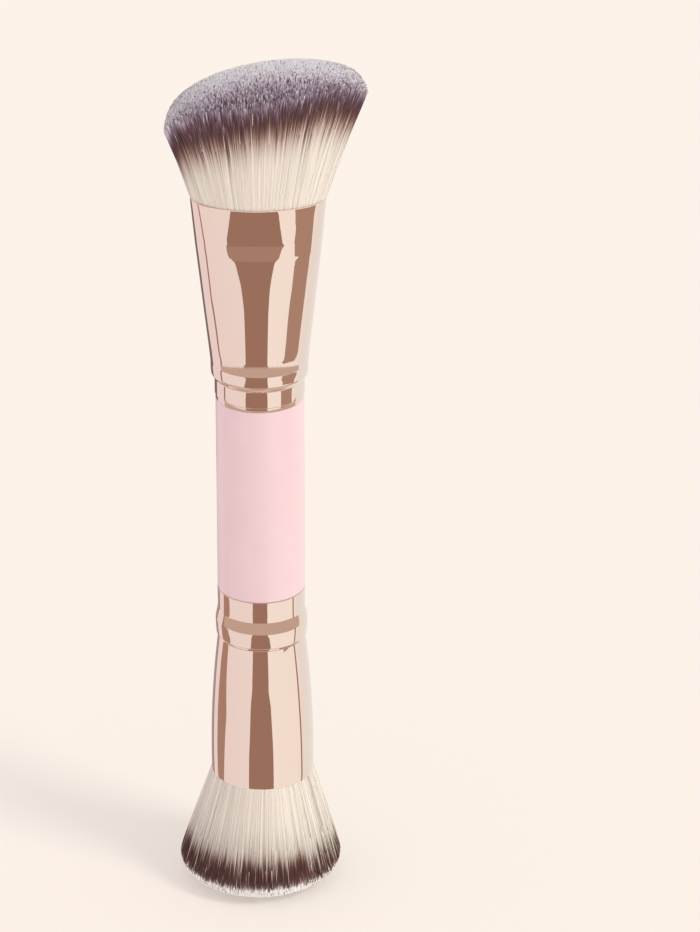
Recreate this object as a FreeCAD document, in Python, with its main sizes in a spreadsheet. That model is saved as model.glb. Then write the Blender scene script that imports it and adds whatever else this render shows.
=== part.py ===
import FreeCAD, Part
import math
import os

import Sketcher
from FreeCAD import Vector

# Double ended makeup brush, standing upright on its flat-domed round head.
# Millimetres, +Z up. The origin is the centre of the patch that the lower head rests on,
# and +X points to the high side of the slanted upper head.

SIZES = {
    # Turned handle, with a spigot at each end that plugs into a ferrule.
    "handle_radius": 9.0,
    "handle_length": 42.85,
    "handle_edge": 0.3,
    "spigot_gap": 0.1,
    "spigot_edge": 0.6,
    # Drawn sheet of both ferrules, and the step at their lips.
    "ferrule_wall": 0.4,
    "lip_step": 0.15,
    # Stages of the lower ferrule from its mouth up.
    "lower_barrel_length": 15.5,
    "lower_taper_length": 16.2,
    "lower_neck_length": 0.5,
    "lower_bead_length": 3.2,
    "lower_shoulder_length": 2.6,
    "lower_collar_length": 3.35,
    "lower_lip_length": 1.2,
    # How far they stand out from the handle's radius.
    "lower_mouth_swell": 1.6,
    "lower_waist_swell": 1.35,
    "lower_neck_swell": 0.03,
    "lower_bead_foot_swell": 0.28,
    "lower_bead_head_swell": 0.5,
    "lower_lip_swell": 0.07,
    # Stages of the upper ferrule from the handle up.
    "upper_lip_length": 1.15,
    "upper_collar_length": 3.45,
    "upper_flank_length": 0.95,
    "upper_bead_length": 3.9,
    "upper_taper_length": 24.85,
    "upper_pressed_length": 9.5,
    # How far its round stages stand out from the handle's radius.
    "upper_collar_swell": 0.15,
    "upper_bead_swell": 0.86,
    # What its half width and half depth gain up to the crease, and change from there on.
    "crease_width_gain": 2.94,
    "crease_depth_gain": 0.09,
    "mouth_width_gain": 0.9,
    "mouth_depth_loss": 0.95,
    # Fibre bundles and the resin that binds their roots.
    "resin_gap": 0.05,
    "lower_resin_length": 3.35,
    "upper_resin_length": 8.0,
    "fibre_gap": 0.1,
    "ridge_depth": 0.45,
    "tip_notch": 0.35,
    # Upper head, heights above the ferrule's mouth, and what it fans out up to its crown.
    "upper_crown_height": 26.0,
    "upper_slant": 4.0,
    "upper_side_drop": 6.5,
    "upper_edge_drop": 1.6,
    "upper_face_drop": 3.4,
    "upper_side_flare": 9.75,
    "upper_face_flare": 1.66,
    # Lower head, heights above the floor, and what it fans out beyond the ferrule's mouth.
    "lower_mouth_height": 24.9,
    "lower_head_flare": 5.9,
    "lower_head_round": 4.5,
    "lower_head_widest": 4.2,
}

LOWER_STAGES = (
    "lower_barrel_length",
    "lower_taper_length",
    "lower_neck_length",
    "lower_bead_length",
    "lower_shoulder_length",
    "lower_collar_length",
    "lower_lip_length",
)
UPPER_STAGES = (
    "upper_lip_length",
    "upper_collar_length",
    "upper_flank_length",
    "upper_bead_length",
    "upper_taper_length",
    "upper_pressed_length",
)

# Stages of the upper ferrule that the upper spigot fills.
SPIGOT_STAGES = UPPER_STAGES[:4]

RIDGES = 48

# Flat gores round the pressed ferrule, enough to read as a smooth oval.
GORES = 64

# Powers of the drops from the crown of the slanted dome: a round fall to both sides,
# a tight round at the sides' edge, and a fall to the front and back faces.
SIDE_POWER = 2.15
EDGE_POWER = 9.0
FACE_POWER = 4.2

# Shares of the way from the dome's crown to its rim at which its rings of tips lie.
DOME_SHARES = (1.0, 0.94, 0.82, 0.6, 0.3)

# Quarter round of the lower head, from its widest ring down to the patch it rests on.
ROUND_ANGLES = (90.0, 60.0, 30.0, 0.0)

document = FreeCAD.newDocument("MakeupBrush")


def make_sheet():
    """Write the sizes into a spreadsheet, each cell with its alias."""
    sizes = document.addObject("Spreadsheet::Sheet", "Sizes")
    for row, (name, value) in enumerate(SIZES.items(), start=1):
        sizes.set(f"A{row}", name)
        sizes.set(f"B{row}", str(value))
        sizes.setAlias(f"B{row}", name)
    document.recompute()
    return sizes


sheet = make_sheet()


def total(names):
    """Sum of the named sizes, as an expression of the sheet."""
    return " + ".join(f"Sizes.{name}" for name in names)


# Heights above the lower ferrule's mouth at which its stages end.
WAIST, NECK, BEAD_FOOT, BEAD_HEAD, COLLAR, LIP, RIM = (
    total(LOWER_STAGES[:count]) for count in range(1, len(LOWER_STAGES) + 1)
)

# Heights of the handle's two shoulders above the floor.
HANDLE_FOOT = f"Sizes.lower_mouth_height + {RIM}"
HANDLE_HEAD = f"{HANDLE_FOOT} + Sizes.handle_length"

# Depths of the two bores that the spigots fill, from the shoulders.
LOWER_SPIGOT = f"{total(LOWER_STAGES[2:])} - Sizes.lower_resin_length"
UPPER_SPIGOT = total(SPIGOT_STAGES)

# Inner radius at the ferrules' narrow ends.
BORE = "Sizes.handle_radius - Sizes.ferrule_wall"


def size(name):
    """The number that the sheet holds under an alias."""
    return float(sheet.get(name))


def radius_with(swell):
    """Radius that stands out from the handle by a named swell, as an expression."""
    return f"Sizes.handle_radius + Sizes.{swell}"


def new_body(label, lift):
    """A body of its own, raised to the height that an expression gives."""
    body = document.addObject("PartDesign::Body", label)
    body.Label = label
    body.setExpression("Placement.Base.z", lift)
    return body


def new_sketch(body, role, name):
    """A sketch on one of the body's own origin planes."""
    sketch = body.newObject("Sketcher::SketchObject", name)
    plane = next(item for item in body.Origin.OriginFeatures if item.Role == role)
    sketch.AttachmentSupport = [(plane, "")]
    sketch.MapMode = "FlatFace"
    return sketch


def bind(sketch, name, expression, kind, *where):
    """Add a named dimension to a sketch and tie its value to an expression."""
    value = sketch.evalExpression(expression)
    index = sketch.addConstraint(Sketcher.Constraint(kind, *where, value))
    sketch.renameConstraint(index, name)
    sketch.setExpression(f"Constraints.{name}", expression)


def draw_outline(sketch, points):
    """
    Draw a closed profile beside the sketch's upright axis. Each point is a name, its radius
    and its height as expressions, where None puts it on the axis or on the ground line.
    """
    places = [
        Vector(sketch.evalExpression(radius or "0"), sketch.evalExpression(height or "0"), 0)
        for _, radius, height in points
    ]
    count = len(points)
    for index in range(count):
        sketch.addGeometry(Part.LineSegment(places[index], places[(index + 1) % count]), False)
    for index, (name, radius, height) in enumerate(points):
        sketch.addConstraint(Sketcher.Constraint("Coincident", (index - 1) % count, 2, index, 1))
        if radius:
            bind(sketch, f"{name}_radius", radius, "DistanceX", -1, 1, index, 1)
        else:
            sketch.addConstraint(Sketcher.Constraint("PointOnObject", index, 1, -2))
        if height:
            bind(sketch, f"{name}_height", height, "DistanceY", -1, 1, index, 1)
        else:
            sketch.addConstraint(Sketcher.Constraint("PointOnObject", index, 1, -1))


def revolve(body, name, points):
    """Turn a closed profile once round the body's upright axis."""
    sketch = new_sketch(body, "XZ_Plane", f"{name}_profile")
    draw_outline(sketch, points)
    turned = body.newObject("PartDesign::Revolution", name)
    turned.Profile = sketch
    turned.ReferenceAxis = (sketch, ["V_Axis"])
    turned.Angle = 360
    document.recompute()
    return turned


def make_handle():
    """Turned handle, plain between its two shoulders, with a spigot into each ferrule."""
    body = new_body("handle", HANDLE_FOOT)
    spigot = f"{BORE} - Sizes.spigot_gap"
    foot = f"-({LOWER_SPIGOT})"
    head = f"Sizes.handle_length + {UPPER_SPIGOT}"
    blank = revolve(
        body,
        "turned_blank",
        [
            ("foot_axis", None, foot),
            ("foot", spigot, foot),
            ("lower_root", spigot, None),
            ("lower_shoulder", "Sizes.handle_radius", None),
            ("upper_shoulder", "Sizes.handle_radius", "Sizes.handle_length"),
            ("upper_root", spigot, "Sizes.handle_length"),
            ("head", spigot, head),
            ("head_axis", None, head),
        ],
    )
    ends = (sheet.evalExpression(foot), sheet.evalExpression(head))
    eased = chamfer(body, blank, "eased_shoulders", (0, size("handle_length")), "Sizes.handle_edge")
    chamfer(body, eased, "eased_spigots", ends, "Sizes.spigot_edge")
    return body


def chamfer(body, turned, name, heights, width):
    """Bevel a turned piece's outermost round edge at each of the heights of its own body."""
    circles = [
        (edge.Curve.Center.z, edge.Curve.Radius, f"Edge{index}")
        for index, edge in enumerate(turned.Shape.Edges, start=1)
        if edge.Curve.TypeId == "Part::GeomCircle"
    ]
    rings = []
    for height in heights:
        level = [circle for circle in circles if math.isclose(circle[0], height, abs_tol=1e-6)]
        rings.append(max(level, key=lambda circle: circle[1])[2])
    bevel = body.newObject("PartDesign::Chamfer", name)
    bevel.Base = (turned, rings)
    bevel.setExpression("Size", width)
    document.recompute()
    return bevel


def make_lower_ferrule():
    """Round drawn ferrule: a barrel that narrows to a neck, a rolled bead, a collar and a lip."""
    body = new_body("lower_ferrule", "Sizes.lower_mouth_height")
    mouth = radius_with("lower_mouth_swell")
    waist = radius_with("lower_waist_swell")
    lip = radius_with("lower_lip_swell")
    revolve(
        body,
        "drawn_tube",
        [
            ("mouth", mouth, None),
            ("waist", waist, WAIST),
            ("neck", radius_with("lower_neck_swell"), NECK),
            ("bead_foot", radius_with("lower_bead_foot_swell"), BEAD_FOOT),
            ("bead_head", radius_with("lower_bead_head_swell"), BEAD_HEAD),
            ("collar", "Sizes.handle_radius", COLLAR),
            ("collar_top", "Sizes.handle_radius", f"{LIP} - Sizes.lip_step"),
            ("lip", lip, LIP),
            ("rim", lip, RIM),
            ("rim_bore", BORE, RIM),
            ("neck_bore", BORE, NECK),
            ("waist_bore", f"{waist} - Sizes.ferrule_wall", WAIST),
            ("mouth_bore", f"{mouth} - Sizes.ferrule_wall", None),
        ],
    )
    return body


def oval_wire(half_width, half_depth, height):
    """Closed ring of straight edges, one for each gore, round an ellipse about the axis."""
    corners = []
    for step in range(GORES):
        angle = 2 * math.pi * step / GORES
        corners.append(Vector(half_width * math.cos(angle), half_depth * math.sin(angle), height))
    return Part.makePolygon([*corners, corners[0]])


def round_section(swell, height):
    """Round section of the upper ferrule: its two half axes and its height."""
    radius = size("handle_radius") + swell
    return radius, radius, height


def taper_section(share):
    """Section of the upper ferrule at a share of the way from its bead to its crease."""
    bead = size("handle_radius") + size("upper_bead_swell")
    half_width = bead + size("crease_width_gain") * share
    half_depth = bead + size("crease_depth_gain") * share
    height = sum(size(stage) for stage in SPIGOT_STAGES)
    return half_width, half_depth, height + size("upper_taper_length") * share


def mouth_section():
    """Section at the upper ferrule's mouth."""
    crease_width, crease_depth, crease_height = taper_section(1)
    half_width = crease_width + size("mouth_width_gain")
    half_depth = crease_depth - size("mouth_depth_loss")
    return half_width, half_depth, crease_height + size("upper_pressed_length")


def make_upper_ferrule():
    """
    Drawn ferrule that starts round, with lip, collar and bead, widens to an oval, and is
    pressed flatter between a crease and its mouth. It is lofted over its sections, with
    the same sections one wall inside cut out again. The section midway up the taper keeps
    the gores nearly flat.
    """
    lip, collar, bead_foot = (
        sum(size(stage) for stage in UPPER_STAGES[:count]) for count in (1, 2, 3)
    )
    sections = [
        round_section(0, 0),
        round_section(0, lip - size("lip_step")),
        round_section(size("upper_collar_swell"), lip),
        round_section(size("upper_collar_swell"), collar),
        round_section(size("upper_bead_swell"), bead_foot),
        taper_section(0),
        taper_section(0.5),
        taper_section(1),
        mouth_section(),
    ]
    wall = size("ferrule_wall")
    hollow_sections = [(width - wall, depth - wall, height) for width, depth, height in sections]
    outside = Part.makeLoft([oval_wire(*section) for section in sections], True, True)
    hollow = Part.makeLoft([oval_wire(*section) for section in hollow_sections], True, True)
    ferrule = document.addObject("Part::Feature", "upper_ferrule")
    ferrule.Label = "upper_ferrule"
    ferrule.Shape = outside.cut(hollow)
    ferrule.setExpression("Placement.Base.z", HANDLE_HEAD)
    return ferrule


def resin_disc(label, radius, length, lift):
    """Disc of cast resin whose radius, length and height above the floor are expressions."""
    disc = document.addObject("Part::Cylinder", label)
    disc.Label = label
    disc.setExpression("Radius", radius)
    disc.setExpression("Height", length)
    disc.setExpression("Placement.Base.z", lift)
    return disc


def make_lower_resin():
    """Resin in the narrow bore between the ferrule's neck and the lower spigot."""
    return resin_disc(
        "lower_resin",
        f"{BORE} - Sizes.resin_gap",
        "Sizes.lower_resin_length",
        f"Sizes.lower_mouth_height + {NECK}",
    )


def make_upper_resin():
    """Resin above the upper spigot, as wide as the inside of the ferrule's bead."""
    return resin_disc(
        "upper_resin",
        f"{radius_with('upper_bead_swell')} - Sizes.ferrule_wall - Sizes.resin_gap",
        "Sizes.upper_resin_length",
        f"{HANDLE_HEAD} + {UPPER_SPIGOT}",
    )


def fluted_ring(half_width, half_depth, height, flute):
    """Ring of points round the axis, every second one set in by the flute between two ridges."""
    ring = []
    for step in range(2 * RIDGES):
        angle = math.pi * step / RIDGES
        inset = flute * (step % 2)
        across = (half_width - inset) * math.cos(angle)
        deep = (half_depth - inset) * math.sin(angle)
        ring.append(Vector(across, deep, height))
    return ring


def facet(*corners):
    """Flat face between corners."""
    return Part.Face(Part.makePolygon([*corners, corners[0]]))


def bundle(rings, crown=None):
    """
    Closed solid of flat facets over rings of points, from its root ring to its last ring,
    which is closed by a flat face or by facets that meet at a crown.
    """
    faces = [facet(*rings[0])]
    for below, above in zip(rings, rings[1:]):
        for index in range(len(below)):
            after = (index + 1) % len(below)
            if index % 2:
                faces.append(facet(below[index], below[after], above[after]))
                faces.append(facet(below[index], above[after], above[index]))
            else:
                faces.append(facet(below[index], below[after], above[index]))
                faces.append(facet(below[after], above[after], above[index]))
    last = rings[-1]
    if crown:
        for index in range(len(last)):
            faces.append(facet(last[index], last[(index + 1) % len(last)], crown))
    else:
        faces.append(facet(*last))
    shell = Part.makeShell(faces)
    shell.sewShape()
    solid = Part.makeSolid(shell)
    if solid.Volume < 0:
        solid.reverse()
    return solid


def tip_height(across, deep):
    """
    Height above the mouth of the slanted head's tips, where across and deep run from -1
    to 1 over the bundle's width and depth.
    """
    drop = (
        size("upper_side_drop") * abs(across) ** SIDE_POWER
        + size("upper_edge_drop") * abs(across) ** EDGE_POWER
        + size("upper_face_drop") * abs(deep) ** FACE_POWER
    )
    return size("upper_crown_height") + size("upper_slant") * across - drop


def make_upper_fibres():
    """Bundle that fills the oval ferrule, fans out above its mouth and ends in a slanted dome."""
    wall = size("ferrule_wall") + size("fibre_gap")
    flute = size("ridge_depth")
    crown = size("upper_crown_height")
    root_section = taper_section(size("upper_resin_length") / size("upper_taper_length"))
    rings = [
        fluted_ring(half_width - wall, half_depth - wall, height, flute)
        for half_width, half_depth, height in (root_section, taper_section(1), mouth_section())
    ]
    mouth_width, mouth_depth, mouth = mouth_section()
    mouth_width -= wall
    mouth_depth -= wall
    mouth_ring = rings[-1]
    for share in DOME_SHARES:
        ring = []
        for index, point in enumerate(mouth_ring):
            across = share * point.x / mouth_width
            deep = share * point.y / mouth_depth
            height = tip_height(across, deep) - size("tip_notch") * (index % 2)
            half_width = mouth_width + size("upper_side_flare") * height / crown
            half_depth = mouth_depth + size("upper_face_flare") * height / crown
            ring.append(Vector(across * half_width, deep * half_depth, mouth + height))
        rings.append(ring)
    fibres = document.addObject("Part::Feature", "upper_fibres")
    fibres.Label = "upper_fibres"
    fibres.Shape = bundle(rings, crown=Vector(0, 0, mouth + crown))
    fibres.setExpression("Placement.Base.z", HANDLE_HEAD)
    return fibres


def make_lower_fibres():
    """Bundle that fills the round ferrule and fans out to a broad head with a flat dome."""
    wall = size("ferrule_wall") + size("fibre_gap")
    flute = size("ridge_depth")
    bore = size("handle_radius") - wall
    mouth = size("lower_mouth_height")
    waist = mouth + size("lower_barrel_length")
    inner_rings = [
        (bore, waist + size("lower_taper_length")),
        (bore + size("lower_waist_swell"), waist),
        (bore + size("lower_mouth_swell"), mouth),
    ]
    rings = [fluted_ring(radius, radius, height, flute) for radius, height in inner_rings]
    head_radius = size("handle_radius") + size("lower_mouth_swell") + size("lower_head_flare")
    rest_radius = head_radius - size("lower_head_round")
    for degrees in ROUND_ANGLES:
        turn = math.radians(degrees)
        radius = rest_radius + size("lower_head_round") * math.sin(turn)
        height = size("lower_head_widest") * (1 - math.cos(turn))
        rings.append(fluted_ring(radius, radius, height, flute))
    fibres = document.addObject("Part::Feature", "lower_fibres")
    fibres.Label = "lower_fibres"
    fibres.Shape = bundle(rings)
    return fibres


def check_document():
    """Stop if any object of the document has failed."""
    document.recompute()
    for item in document.Objects:
        if "Invalid" in item.State or "Error" in item.State:
            raise RuntimeError(f"{item.Label} failed: {item.State}")


def export(pieces):
    """Check each piece's solid and write it to a file of its own."""
    os.makedirs("parts", exist_ok=True)
    for piece in pieces:
        if piece.Shape.isNull() or not piece.Shape.isValid() or len(piece.Shape.Solids) != 1:
            raise RuntimeError(f"{piece.Label} is not one valid solid")
    for piece in pieces:
        piece.Shape.exportStep(os.path.join("parts", f"{piece.Label}.step"))
        print(f"{piece.Label}: {piece.Shape.Volume:.1f} cubic millimetres")


parts = [
    make_handle(),
    make_lower_ferrule(),
    make_upper_ferrule(),
    make_lower_resin(),
    make_upper_resin(),
    make_lower_fibres(),
    make_upper_fibres(),
]
check_document()
export(parts)
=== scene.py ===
"""Double ended makeup brush: a pink handle, two rose gold ferrules and two tufts of dyed fibre."""

import logging
import math
from dataclasses import dataclass, field
from enum import Enum

import bpy
import numpy as np
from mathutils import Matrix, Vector
from mathutils.kdtree import KDTree


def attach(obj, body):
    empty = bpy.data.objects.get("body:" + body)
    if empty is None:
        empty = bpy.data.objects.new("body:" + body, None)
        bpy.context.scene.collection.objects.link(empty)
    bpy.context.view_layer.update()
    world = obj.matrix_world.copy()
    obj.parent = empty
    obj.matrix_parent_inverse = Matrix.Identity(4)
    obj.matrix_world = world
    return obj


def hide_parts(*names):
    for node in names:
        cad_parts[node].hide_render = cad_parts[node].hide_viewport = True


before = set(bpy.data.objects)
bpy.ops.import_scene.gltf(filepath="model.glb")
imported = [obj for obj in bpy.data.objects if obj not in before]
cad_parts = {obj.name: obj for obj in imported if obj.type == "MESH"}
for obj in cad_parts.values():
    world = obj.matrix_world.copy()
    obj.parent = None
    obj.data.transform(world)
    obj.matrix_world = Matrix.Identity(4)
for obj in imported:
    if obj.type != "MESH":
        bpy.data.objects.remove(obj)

MM = 0.001
TINY = 1e-9
Colour = tuple[float, float, float, float]
Points = np.ndarray
log = logging.getLogger("brush")


class Slot(Enum):
    """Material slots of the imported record."""

    HANDLE = "handle_lacquer"
    FERRULE = "ferrule_metal"
    RESIN = "resin"
    FIBRE = "fibre"


class Blend(Enum):
    """Ways in which one colour is laid over another."""

    MIX = "MIX"
    MULTIPLY = "MULTIPLY"


def screen(red: float, green: float, blue: float) -> Colour:
    """Turn a colour as a screen shows it, from 0 to 255, into the linear one that shaders use.

    Args:
        red: Red share of the colour.
        green: Green share of the colour.
        blue: Blue share of the colour.

    Returns:
        The linear colour with full alpha.
    """
    shares = [value / 255 for value in (red, green, blue)]
    linear = [s / 12.92 if s <= 0.04045 else ((s + 0.055) / 1.055) ** 2.4 for s in shares]
    return (linear[0], linear[1], linear[2], 1.0)


class Signal:
    """A shader socket that takes part in Python arithmetic."""

    def __init__(self, graph: "Graph", socket: bpy.types.NodeSocket) -> None:
        """Wrap an output socket of a graph's node."""
        self.graph = graph
        self.socket = socket

    def __add__(self, other: "Signal | float") -> "Signal":
        """Sum of the two."""
        return self.graph.math("ADD", self, other)

    def __radd__(self, other: float) -> "Signal":
        """Sum with a number on the left."""
        return self.graph.math("ADD", other, self)

    def __sub__(self, other: "Signal | float") -> "Signal":
        """Difference of the two."""
        return self.graph.math("SUBTRACT", self, other)

    def __rsub__(self, other: float) -> "Signal":
        """Difference from a number on the left."""
        return self.graph.math("SUBTRACT", other, self)

    def __mul__(self, other: "Signal | float") -> "Signal":
        """Product of the two."""
        return self.graph.math("MULTIPLY", self, other)

    def __rmul__(self, other: float) -> "Signal":
        """Product with a number on the left."""
        return self.graph.math("MULTIPLY", other, self)

    def __truediv__(self, other: "Signal | float") -> "Signal":
        """Quotient of the two."""
        return self.graph.math("DIVIDE", self, other)

    def __rtruediv__(self, other: float) -> "Signal":
        """Quotient of a number on the left."""
        return self.graph.math("DIVIDE", other, self)


class Graph:
    """A material's or world's node tree, written as expressions."""

    def __init__(self, tree: bpy.types.NodeTree) -> None:
        """Empty the tree and start anew."""
        self.tree = tree
        tree.nodes.clear()

    def node(
        self, kind: str, settings: dict[str, object] | None = None, **inputs: object
    ) -> bpy.types.Node:
        """Add a node.

        Args:
            kind: Type of the node, such as ShaderNodeMath.
            settings: What is set before its sockets, with a ramp's stops under "stops".
            inputs: Values or signals of its sockets, by name with _ for a space, or by
                in_ and the socket's number.

        Returns:
            The new node.
        """
        made = self.tree.nodes.new(kind)
        for name, value in (settings or {}).items():
            if name == "stops":
                self.fill_ramp(made, value)
            else:
                setattr(made, name, value)
        for name, value in inputs.items():
            key = int(name[3:]) if name.startswith("in_") else name.replace("_", " ")
            if isinstance(value, Signal):
                self.tree.links.new(value.socket, made.inputs[key])
            else:
                made.inputs[key].default_value = value
        return made

    @staticmethod
    def fill_ramp(ramp: bpy.types.Node, stops: list[tuple[float, Colour]]) -> None:
        """Give a ramp its stops.

        Args:
            ramp: The colour ramp node.
            stops: Place and colour of each stop, in order.
        """
        elements = ramp.color_ramp.elements
        for place, _ in stops[2:]:
            elements.new(place)
        for element, (place, colour) in zip(elements, stops):
            element.position = place
            element.color = colour

    def math(self, operation: str, *operands: Signal | float) -> Signal:
        """Work out a Math node's operation on signals and numbers.

        Args:
            operation: Name of the operation.
            operands: Its operands, in order.

        Returns:
            The result.
        """
        inputs = {f"in_{index}": value for index, value in enumerate(operands)}
        made = self.node("ShaderNodeMath", {"operation": operation}, **inputs)
        return Signal(self, made.outputs[0])

    def mix(
        self,
        factor: Signal | float,
        under: Signal | Colour,
        over: Signal | Colour,
        blend: Blend = Blend.MIX,
    ) -> Signal:
        """Lay one colour over another.

        Args:
            factor: Share of the upper colour.
            under: Lower colour.
            over: Upper colour.
            blend: How the upper colour is laid on.

        Returns:
            The mixed colour.
        """
        settings = {"data_type": "RGBA", "blend_type": blend.value, "clamp_factor": True}
        made = self.node("ShaderNodeMix", settings, in_0=factor, in_6=under, in_7=over)
        return Signal(self, made.outputs[2])

    def ramp(self, place: Signal, stops: list[tuple[float, Colour]]) -> Signal:
        """Colour at a place along a ramp of stops."""
        made = self.node("ShaderNodeValToRGB", {"stops": stops}, Fac=place)
        return Signal(self, made.outputs["Color"])

    def attribute(self, name: str) -> Signal:
        """Number that the mesh carries under a name."""
        made = self.node("ShaderNodeAttribute", {"attribute_name": name})
        return Signal(self, made.outputs["Fac"])

    def position(self, scale: tuple[float, float, float] = (1.0, 1.0, 1.0)) -> Signal:
        """Object coordinates in millimetres, stretched along each axis.

        Args:
            scale: Stretch along each axis.

        Returns:
            The stretched coordinates.
        """
        place = self.node("ShaderNodeTexCoord").outputs["Object"]
        stretch = tuple(share / MM for share in scale)
        settings = {"operation": "MULTIPLY"}
        made = self.node("ShaderNodeVectorMath", settings, in_0=Signal(self, place), in_1=stretch)
        return Signal(self, made.outputs[0])

    def noise(self, place: Signal, scale: float, detail: float = 2.0) -> Signal:
        """Soft noise from 0 to 1.

        Args:
            place: Coordinates in millimetres.
            scale: Waves in each millimetre.
            detail: Number of finer layers.

        Returns:
            The noise.
        """
        made = self.node("ShaderNodeTexNoise", None, Vector=place, Scale=scale, Detail=detail)
        return Signal(self, made.outputs["Fac"])

    def bump(self, height: Signal, depth: float) -> Signal:
        """Normal of a relief.

        Args:
            height: Relief from 0 to 1.
            depth: Height of the relief in millimetres.

        Returns:
            The normal.
        """
        made = self.node("ShaderNodeBump", None, Strength=1.0, Distance=depth * MM, Height=height)
        return Signal(self, made.outputs["Normal"])

    def surface(self, **inputs: object) -> None:
        """Dress the surface in a principled shader with the given sockets."""
        shader = self.node("ShaderNodeBsdfPrincipled", None, **inputs)
        self.show(Signal(self, shader.outputs[0]))

    def emission(self, colour: Colour) -> Signal:
        """Shader that shines evenly in a colour."""
        made = self.node("ShaderNodeEmission", None, Color=colour, Strength=1.0)
        return Signal(self, made.outputs[0])

    def show(self, shader: Signal, kind: str = "ShaderNodeOutputMaterial") -> None:
        """Make a shader the one that the material or world shows."""
        self.node(kind, None, Surface=shader)


def grey(level: float) -> Colour:
    """Even grey of a level from 0 to 1."""
    return (level, level, level, 1.0)


def new_graph(name: str) -> tuple[bpy.types.Material, Graph]:
    """Make an empty material.

    Args:
        name: Its name.

    Returns:
        The material and its graph.
    """
    material = bpy.data.materials.new(name)
    material.use_nodes = True
    return material, Graph(material.node_tree)


@dataclass(frozen=True)
class LacquerFinish:
    """Satin lacquer of the handle, with a faint ripple and soft clouding."""

    name: str = "handle_lacquer"
    colour: Colour = screen(244, 214, 217)
    shade: Colour = screen(241, 208, 214)
    roughness: float = 0.42
    grain_roughness: float = 0.08
    coat: float = 0.25
    coat_roughness: float = 0.22
    cloud_scale: float = 0.16
    grain_scale: float = 9.0
    ripple_scale: float = 1.6
    grain_share: float = 0.2
    ripple_depth: float = 0.004

    def make(self) -> bpy.types.Material:
        """Build the material.

        Returns:
            The material.
        """
        material, graph = new_graph(self.name)
        place = graph.position()
        cloud = graph.noise(place, self.cloud_scale)
        grain = graph.noise(place, self.grain_scale, 3.0)
        waves = graph.noise(place, self.ripple_scale)
        ripple = waves * (1 - self.grain_share) + grain * self.grain_share
        graph.surface(
            Base_Color=graph.mix(cloud, self.colour, self.shade),
            Roughness=self.roughness + (grain - 0.5) * self.grain_roughness,
            Coat_Weight=self.coat,
            Coat_Roughness=self.coat_roughness,
            Normal=graph.bump(ripple, self.ripple_depth),
        )
        return material


@dataclass(frozen=True)
class MetalFinish:
    """Polished rose gold plating, with the faint rings that polishing leaves."""

    name: str = "rose_gold_plate"
    colour: Colour = (0.865, 0.678, 0.577, 1.0)
    bloom: Colour = (0.85, 0.655, 0.56, 1.0)
    roughness: float = 0.012
    ring_roughness: float = 0.022
    cloud_roughness: float = 0.012
    ring_stretch: tuple[float, float, float] = (0.15, 0.15, 6.0)
    cloud_scale: float = 0.22

    def make(self) -> bpy.types.Material:
        """Build the material.

        Returns:
            The material.
        """
        material, graph = new_graph(self.name)
        rings = graph.noise(graph.position(self.ring_stretch), 1.0, 3.0)
        cloud = graph.noise(graph.position(), self.cloud_scale, 3.0)
        uneven = self.roughness + rings * self.ring_roughness + cloud * self.cloud_roughness
        graph.surface(
            Base_Color=graph.mix(cloud, self.colour, self.bloom),
            Metallic=1.0,
            Roughness=uneven,
        )
        return material


@dataclass(frozen=True)
class ResinFinish:
    """Amber resin that binds the roots of the fibres."""

    name: str = "root_resin"
    clear: Colour = screen(214, 186, 140)
    cloudy: Colour = screen(196, 160, 112)
    roughness: float = 0.25
    swirl_roughness: float = 0.15
    swirl_scale: float = 0.7
    swirl_depth: float = 0.02

    def make(self) -> bpy.types.Material:
        """Build the material.

        Returns:
            The material.
        """
        material, graph = new_graph(self.name)
        swirl = graph.noise(graph.position(), self.swirl_scale, 4.0)
        graph.surface(
            Base_Color=graph.mix(swirl, self.clear, self.cloudy),
            Roughness=self.roughness + swirl * self.swirl_roughness,
            Normal=graph.bump(swirl, self.swirl_depth),
        )
        return material


@dataclass(frozen=True)
class FibreFinish:
    """Dyed fibre: pale tips, a dark band below them and cream down to the root.

    Each fibre's tone darkens it in the depths given, as shares of the reach. With a painted glow,
    the tips shine by themselves, a painted light for the shade under the head, and fade out
    between the two distances given.
    """

    name: str
    dyes: tuple[tuple[float, Colour], ...]
    reach: float = 20.0
    crowding: float = 0.44
    light: float = 0.91
    contrast: float = 0.26
    depths: tuple[tuple[float, float], ...] = ((0.0, 0.7), (0.4, 1.0), (0.7, 0.25))
    roughness: float = 0.6
    tone_roughness: float = 0.05
    specular: float = 0.1
    painted_glow: float = 0.0
    painted_glow_fade: tuple[float, float] = (0.5, 1.5)

    def dye_and_light(self, shown: Colour) -> Colour:
        """Colour that a fibre needs for the crowded tuft to show another.

        Args:
            shown: Colour that the whole tuft shows.

        Returns:
            The single fibre's colour.
        """
        lit = [share / self.light for share in shown[:3]]
        lone = [share / (1 - self.crowding + self.crowding * share) for share in lit]
        return (lone[0], lone[1], lone[2], 1.0)

    def make(self) -> bpy.types.Material:
        """Build the material from the two numbers that each fibre carries, from_tip and tone.

        Returns:
            The material.
        """
        material, graph = new_graph(self.name)
        distance = graph.attribute("from_tip") / self.reach
        tone = graph.attribute("tone")
        stops = [(place / self.reach, self.dye_and_light(colour)) for place, colour in self.dyes]
        dyed = graph.ramp(distance, stops)
        level = graph.ramp(tone * 0.5 + 0.5, [(0.0, grey(1 - self.contrast)), (1.0, grey(1.0))])
        depth = graph.ramp(distance, [(place, grey(share)) for place, share in self.depths])
        bright, out = (place / self.reach for place in self.painted_glow_fade)
        graph.surface(
            Base_Color=graph.mix(depth, dyed, graph.mix(1.0, dyed, level, Blend.MULTIPLY)),
            Roughness=self.roughness + tone * self.tone_roughness,
            Specular_IOR_Level=self.specular,
            # Painted glow: the pale tips shine by themselves, light that stands in for the shade
            # they sit in.
            Emission_Color=graph.ramp(distance, [(bright, self.dyes[0][1]), (out, grey(0.0))]),
            Emission_Strength=self.painted_glow,
        )
        return material


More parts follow.
